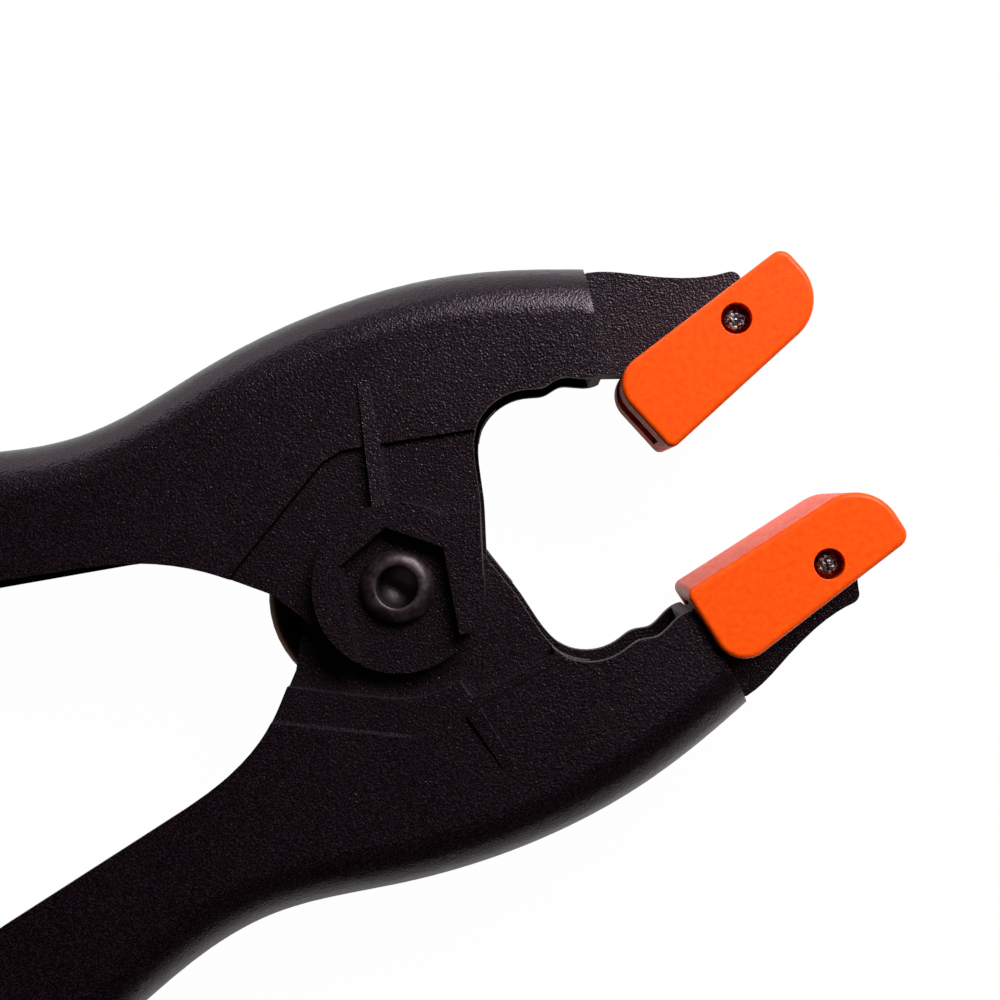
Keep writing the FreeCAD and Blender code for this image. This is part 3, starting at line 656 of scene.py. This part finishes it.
class CLAMP_OT_rivet(bpy.types.Operator):
    """Make the pivot rivet with its rolled end"""
    bl_idname = "clamp.rivet"
    bl_label = "Rivet"

    def execute(self, context):
        low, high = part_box("pivot_rivet")
        sizes = context.scene.clamp_sizes
        profile = self.rolled_end(sizes, high.z) + self.far_head(sizes, low.z)
        maker = lathe(self.in_steps(profile), RIVET_SEGMENTS, self.uneven)
        material = rivet_material(context.scene.clamp_colours)
        new_piece("rivet_body", maker, material, "lower_arm", "rivet_steel", "pivot_rivet")
        return {"FINISHED"}

    def rolled_end(self, sizes, top):
        """Profile from the bottom of the hole, over the rolled end, to the shank."""
        floor = top - sizes.rivet_depth
        seat = MIDDLE_HEIGHT + RIVET_SEAT
        hole, lip = sizes.rivet_hole, sizes.rivet_lip
        outer, roll = sizes.rivet_head, sizes.rivet_roll
        profile = arc((0, floor + DISH_CENTRE), DISH_RADIUS, 270, 312, 6)
        profile += [(hole, floor + DISH_EDGE)]
        profile += arc((hole + lip, top - lip), lip, 180, 100, 6)
        profile += arc((outer - roll, top - roll), roll, 88, 0, 12)
        profile += [(outer - ROLL_DRAFT, seat + ROLL_EDGE_HEIGHT), (outer - ROLL_EDGE, seat)]
        return profile + [(sizes.rivet_shank, seat)]

    def far_head(self, sizes, bottom):
        """Profile from the shank, over the far head, to the axis."""
        seat = MIDDLE_HEIGHT - RIVET_SEAT
        outer = sizes.rivet_head
        side = bottom + HEAD_SIDE
        profile = [(sizes.rivet_shank, seat)]
        profile += [(outer - HEAD_EDGE, seat), (outer, seat - HEAD_EDGE_HEIGHT), (outer, side)]
        profile += arc((outer - HEAD_ROUND, side), HEAD_ROUND, 0, -60, 4)
        profile += [(outer - HEAD_SLOPE, bottom + HEAD_SLOPE_HEIGHT), (outer - HEAD_FLAT, bottom)]
        return profile + [(0, bottom)]

    def in_steps(self, profile):
        """The same profile, with more points on its longer lines."""
        points = [profile[0]]
        for before, after in zip(profile, profile[1:]):
            gap = math.hypot(after[0] - before[0], after[1] - before[1])
            count = max(1, math.ceil(gap / RIVET_STEP))
            for i in range(1, count + 1):
                share = i / count
                points.append(tuple(a + (b - a) * share for a, b in zip(before, after)))
        return points

    def uneven(self, place):
        """The rolled rim isn't quite round, and its metal is slightly torn."""
        if place.z < MIDDLE_HEIGHT + RIM_START:
            return place
        torn = noise.noise(place * TORN_SCALE) * TORN_DEPTH
        bent = noise.noise(place * BENT_SCALE) * BENT_DEPTH
        amount = abs(torn + bent)
        flat = Vector((place.x, place.y, 0))
        return place - flat.normalized() * amount - Vector((0, 0, amount * RIM_SINK))


class CLAMP_OT_pins(bpy.types.Operator):
    """Make the pads' pins with their cut ends"""
    bl_idname = "clamp.pins"
    bl_label = "Pins"

    def execute(self, context):
        sizes = context.scene.clamp_sizes
        material = pin_material(context.scene.clamp_colours)
        for name in PINS:
            low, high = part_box(name)
            middle = (low + high) / 2
            half = (high.z - low.z) / 2
            seed = Vector((middle.x, middle.y, 0)) * SEED_SCALE
            depth = sizes.pin_roughness
            profile = self.profile(sizes.pin, half)
            maker = lathe(profile, PIN_SEGMENTS, lambda place: self.cut(place, half, depth, seed))
            bmesh.ops.translate(maker, verts=maker.verts, vec=middle)
            body = name.replace("_pin", "")
            new_piece(name.replace("pad_pin", "pin_body"), maker, material, body, "pin_steel", name)
        return {"FINISHED"}

    def profile(self, radius, half):
        """From the middle of one end, along the side, to the middle of the other end."""
        end = [(radius * i / END_RINGS, half) for i in range(END_RINGS - 1)]
        end += [(radius - PIN_CHAMFER, half), (radius, half - PIN_CHAMFER)]
        side = [(radius, half * i / SIDE_RINGS) for i in range(1 - SIDE_RINGS, SIDE_RINGS)]
        return [(away, -height) for away, height in end] + side + end[::-1]

    def cut(self, place, half, depth, seed):
        """Marks of the cutter on the pin's ends."""
        if abs(place.z) < half - CUT_REACH:
            return place
        broad = abs(noise.noise(place * CUT_BROAD + seed))
        fine = abs(noise.noise(place * CUT_FINE + seed))
        tilt = 0.5 + 0.5 * math.sin(place.x * TILT_SCALE + seed.y)
        share = (broad + CUT_FINE_SHARE * fine) * CUT_SHARE + TILT_SHARE * tilt
        sink = depth * min(1.0, share)
        return place - Vector((0, 0, math.copysign(sink, place.z)))


class CLAMP_OT_stage(bpy.types.Operator):
    """Set up the floor, the studio light and the camera"""
    bl_idname = "clamp.stage"
    bl_label = "Stage"

    def execute(self, context):
        stage = context.scene.clamp_stage
        self.make_floor(stage)
        self.make_world(context.scene, stage)
        self.make_lamps(context.scene)
        self.make_camera(context.scene, stage)
        context.scene.view_settings.view_transform = "Standard"
        return {"FINISHED"}

    def make_floor(self, stage):
        """White to the camera, and paper with a shadow to the light that falls on it."""
        maker = bmesh.new()
        bmesh.ops.create_circle(
            maker, cap_ends=True, segments=FLOOR_SEGMENTS, radius=stage.floor)
        mesh = bpy.data.meshes.new("floor")
        maker.to_mesh(mesh)
        maker.free()
        floor = bpy.data.objects.new("floor", mesh)
        bpy.context.scene.collection.objects.link(floor)
        material, finish = new_finish("floor")
        mesh.materials.append(material)
        paper = finish.node("ShaderNodeBsdfDiffuse", None, {"Color": PAPER})
        glow = finish.node("ShaderNodeEmission", None, {"Color": WHITE, "Strength": 1.0})
        seen = self.seen(finish, stage)
        both = finish.node("ShaderNodeMixShader", None, {0: seen, 1: paper, 2: glow})
        finish.shown(both)

    def seen(self, finish, stage):
        """Share of plain white for the rays that show a background, directly or in metal and glass."""
        camera = finish.node("ShaderNodeLightPath", output="Is Camera Ray")
        glossy = finish.node("ShaderNodeLightPath", output="Is Glossy Ray")
        through = finish.node("ShaderNodeLightPath", output="Is Transmission Ray")
        return (camera * stage.floor_glow).above(glossy.above(through) * stage.mirror_glow)

    def make_world(self, scene, stage):
        """The room is brightest near the horizon, and on the key light's side."""
        world = bpy.data.worlds.new("studio")
        scene.world = world
        world.use_nodes = True
        finish = Finish(world.node_tree)
        sky = finish.node("ShaderNodeTexCoord", output="Generated")
        east, north, height = [
            finish.node("ShaderNodeSeparateXYZ", None, {0: sky}, output=axis) for axis in ("X", "Y", "Z")]
        level = finish.ramp(height, *ROOM_LEVELS)
        side = 0.5 + (east * KEY_SIDE[0] + north * KEY_SIDE[1]) * 0.5
        inputs = {"Color": level * side, "Strength": stage.world}
        light = finish.node("ShaderNodeBackground", None, inputs)
        finish.shown(light, "ShaderNodeOutputWorld")

    def make_lamps(self, scene):
        """A soft key light over the picture's upper right, and a weak low strip at its upper left."""
        self.lamp(scene, "key lamp", KEY_PLACE, KEY_SIZE, KEY_POWER)
        self.lamp(scene, "strip lamp", STRIP_PLACE, STRIP_SIZE, STRIP_POWER)

    def lamp(self, scene, name, place, size, power):
        """Rectangular lamp that faces the pivot."""
        light = bpy.data.lights.new(name, "AREA")
        light.shape = "RECTANGLE"
        light.size, light.size_y = size
        light.energy = power
        lamp = bpy.data.objects.new(name, light)
        lamp.location = place
        aim = Vector((0, 0, MIDDLE_HEIGHT)) - Vector(place)
        lamp.rotation_euler = aim.to_track_quat("-Z", "Y").to_euler()
        scene.collection.objects.link(lamp)

    def make_camera(self, scene, stage):
        data = bpy.data.cameras.new("camera")
        data.sensor_width = SENSOR
        data.lens = stage.lens
        data.shift_x, data.shift_y = stage.shift
        data.clip_start = NEAREST_SEEN
        camera = bpy.data.objects.new("camera", data)
        camera.location = stage.camera_place
        camera.rotation_euler = (0, 0, stage.camera_roll)
        scene.collection.objects.link(camera)
        scene.camera = camera


class CLAMP_PT_panel(bpy.types.Panel):
    """Pieces of the clamp"""
    bl_idname = "CLAMP_PT_panel"
    bl_label = "Spring clamp"
    bl_space_type = "VIEW_3D"
    bl_region_type = "UI"
    bl_category = "Clamp"

    def draw(self, context):
        for operator in OPERATORS:
            self.layout.operator(operator.bl_idname)
        for group in (getattr(context.scene, name) for name in GROUPS):
            column = self.layout.column()
            for name in group.bl_rna.properties.keys():
                if name not in ("rna_type", "name"):
                    column.prop(group, name)


OPERATORS = (
    CLAMP_OT_stage, CLAMP_OT_arms, CLAMP_OT_pads, CLAMP_OT_spring, CLAMP_OT_rivet, CLAMP_OT_pins)
GROUPS = {"clamp_sizes": ClampSizes, "clamp_colours": ClampColours, "clamp_stage": ClampStage}


def register():
    for name, group in GROUPS.items():
        bpy.utils.register_class(group)
        setattr(bpy.types.Scene, name, PointerProperty(type=group))
    for operator in OPERATORS:
        bpy.utils.register_class(operator)
    bpy.utils.register_class(CLAMP_PT_panel)


def unregister():
    bpy.utils.unregister_class(CLAMP_PT_panel)
    for operator in reversed(OPERATORS):
        bpy.utils.unregister_class(operator)
    for name, group in reversed(GROUPS.items()):
        delattr(bpy.types.Scene, name)
        bpy.utils.unregister_class(group)


def main():
    register()
    bpy.ops.clamp.stage()
    bpy.ops.clamp.arms()
    bpy.ops.clamp.pads()
    bpy.ops.clamp.spring()
    bpy.ops.clamp.rivet()
    bpy.ops.clamp.pins()


if __name__ == "__main__":
    main()
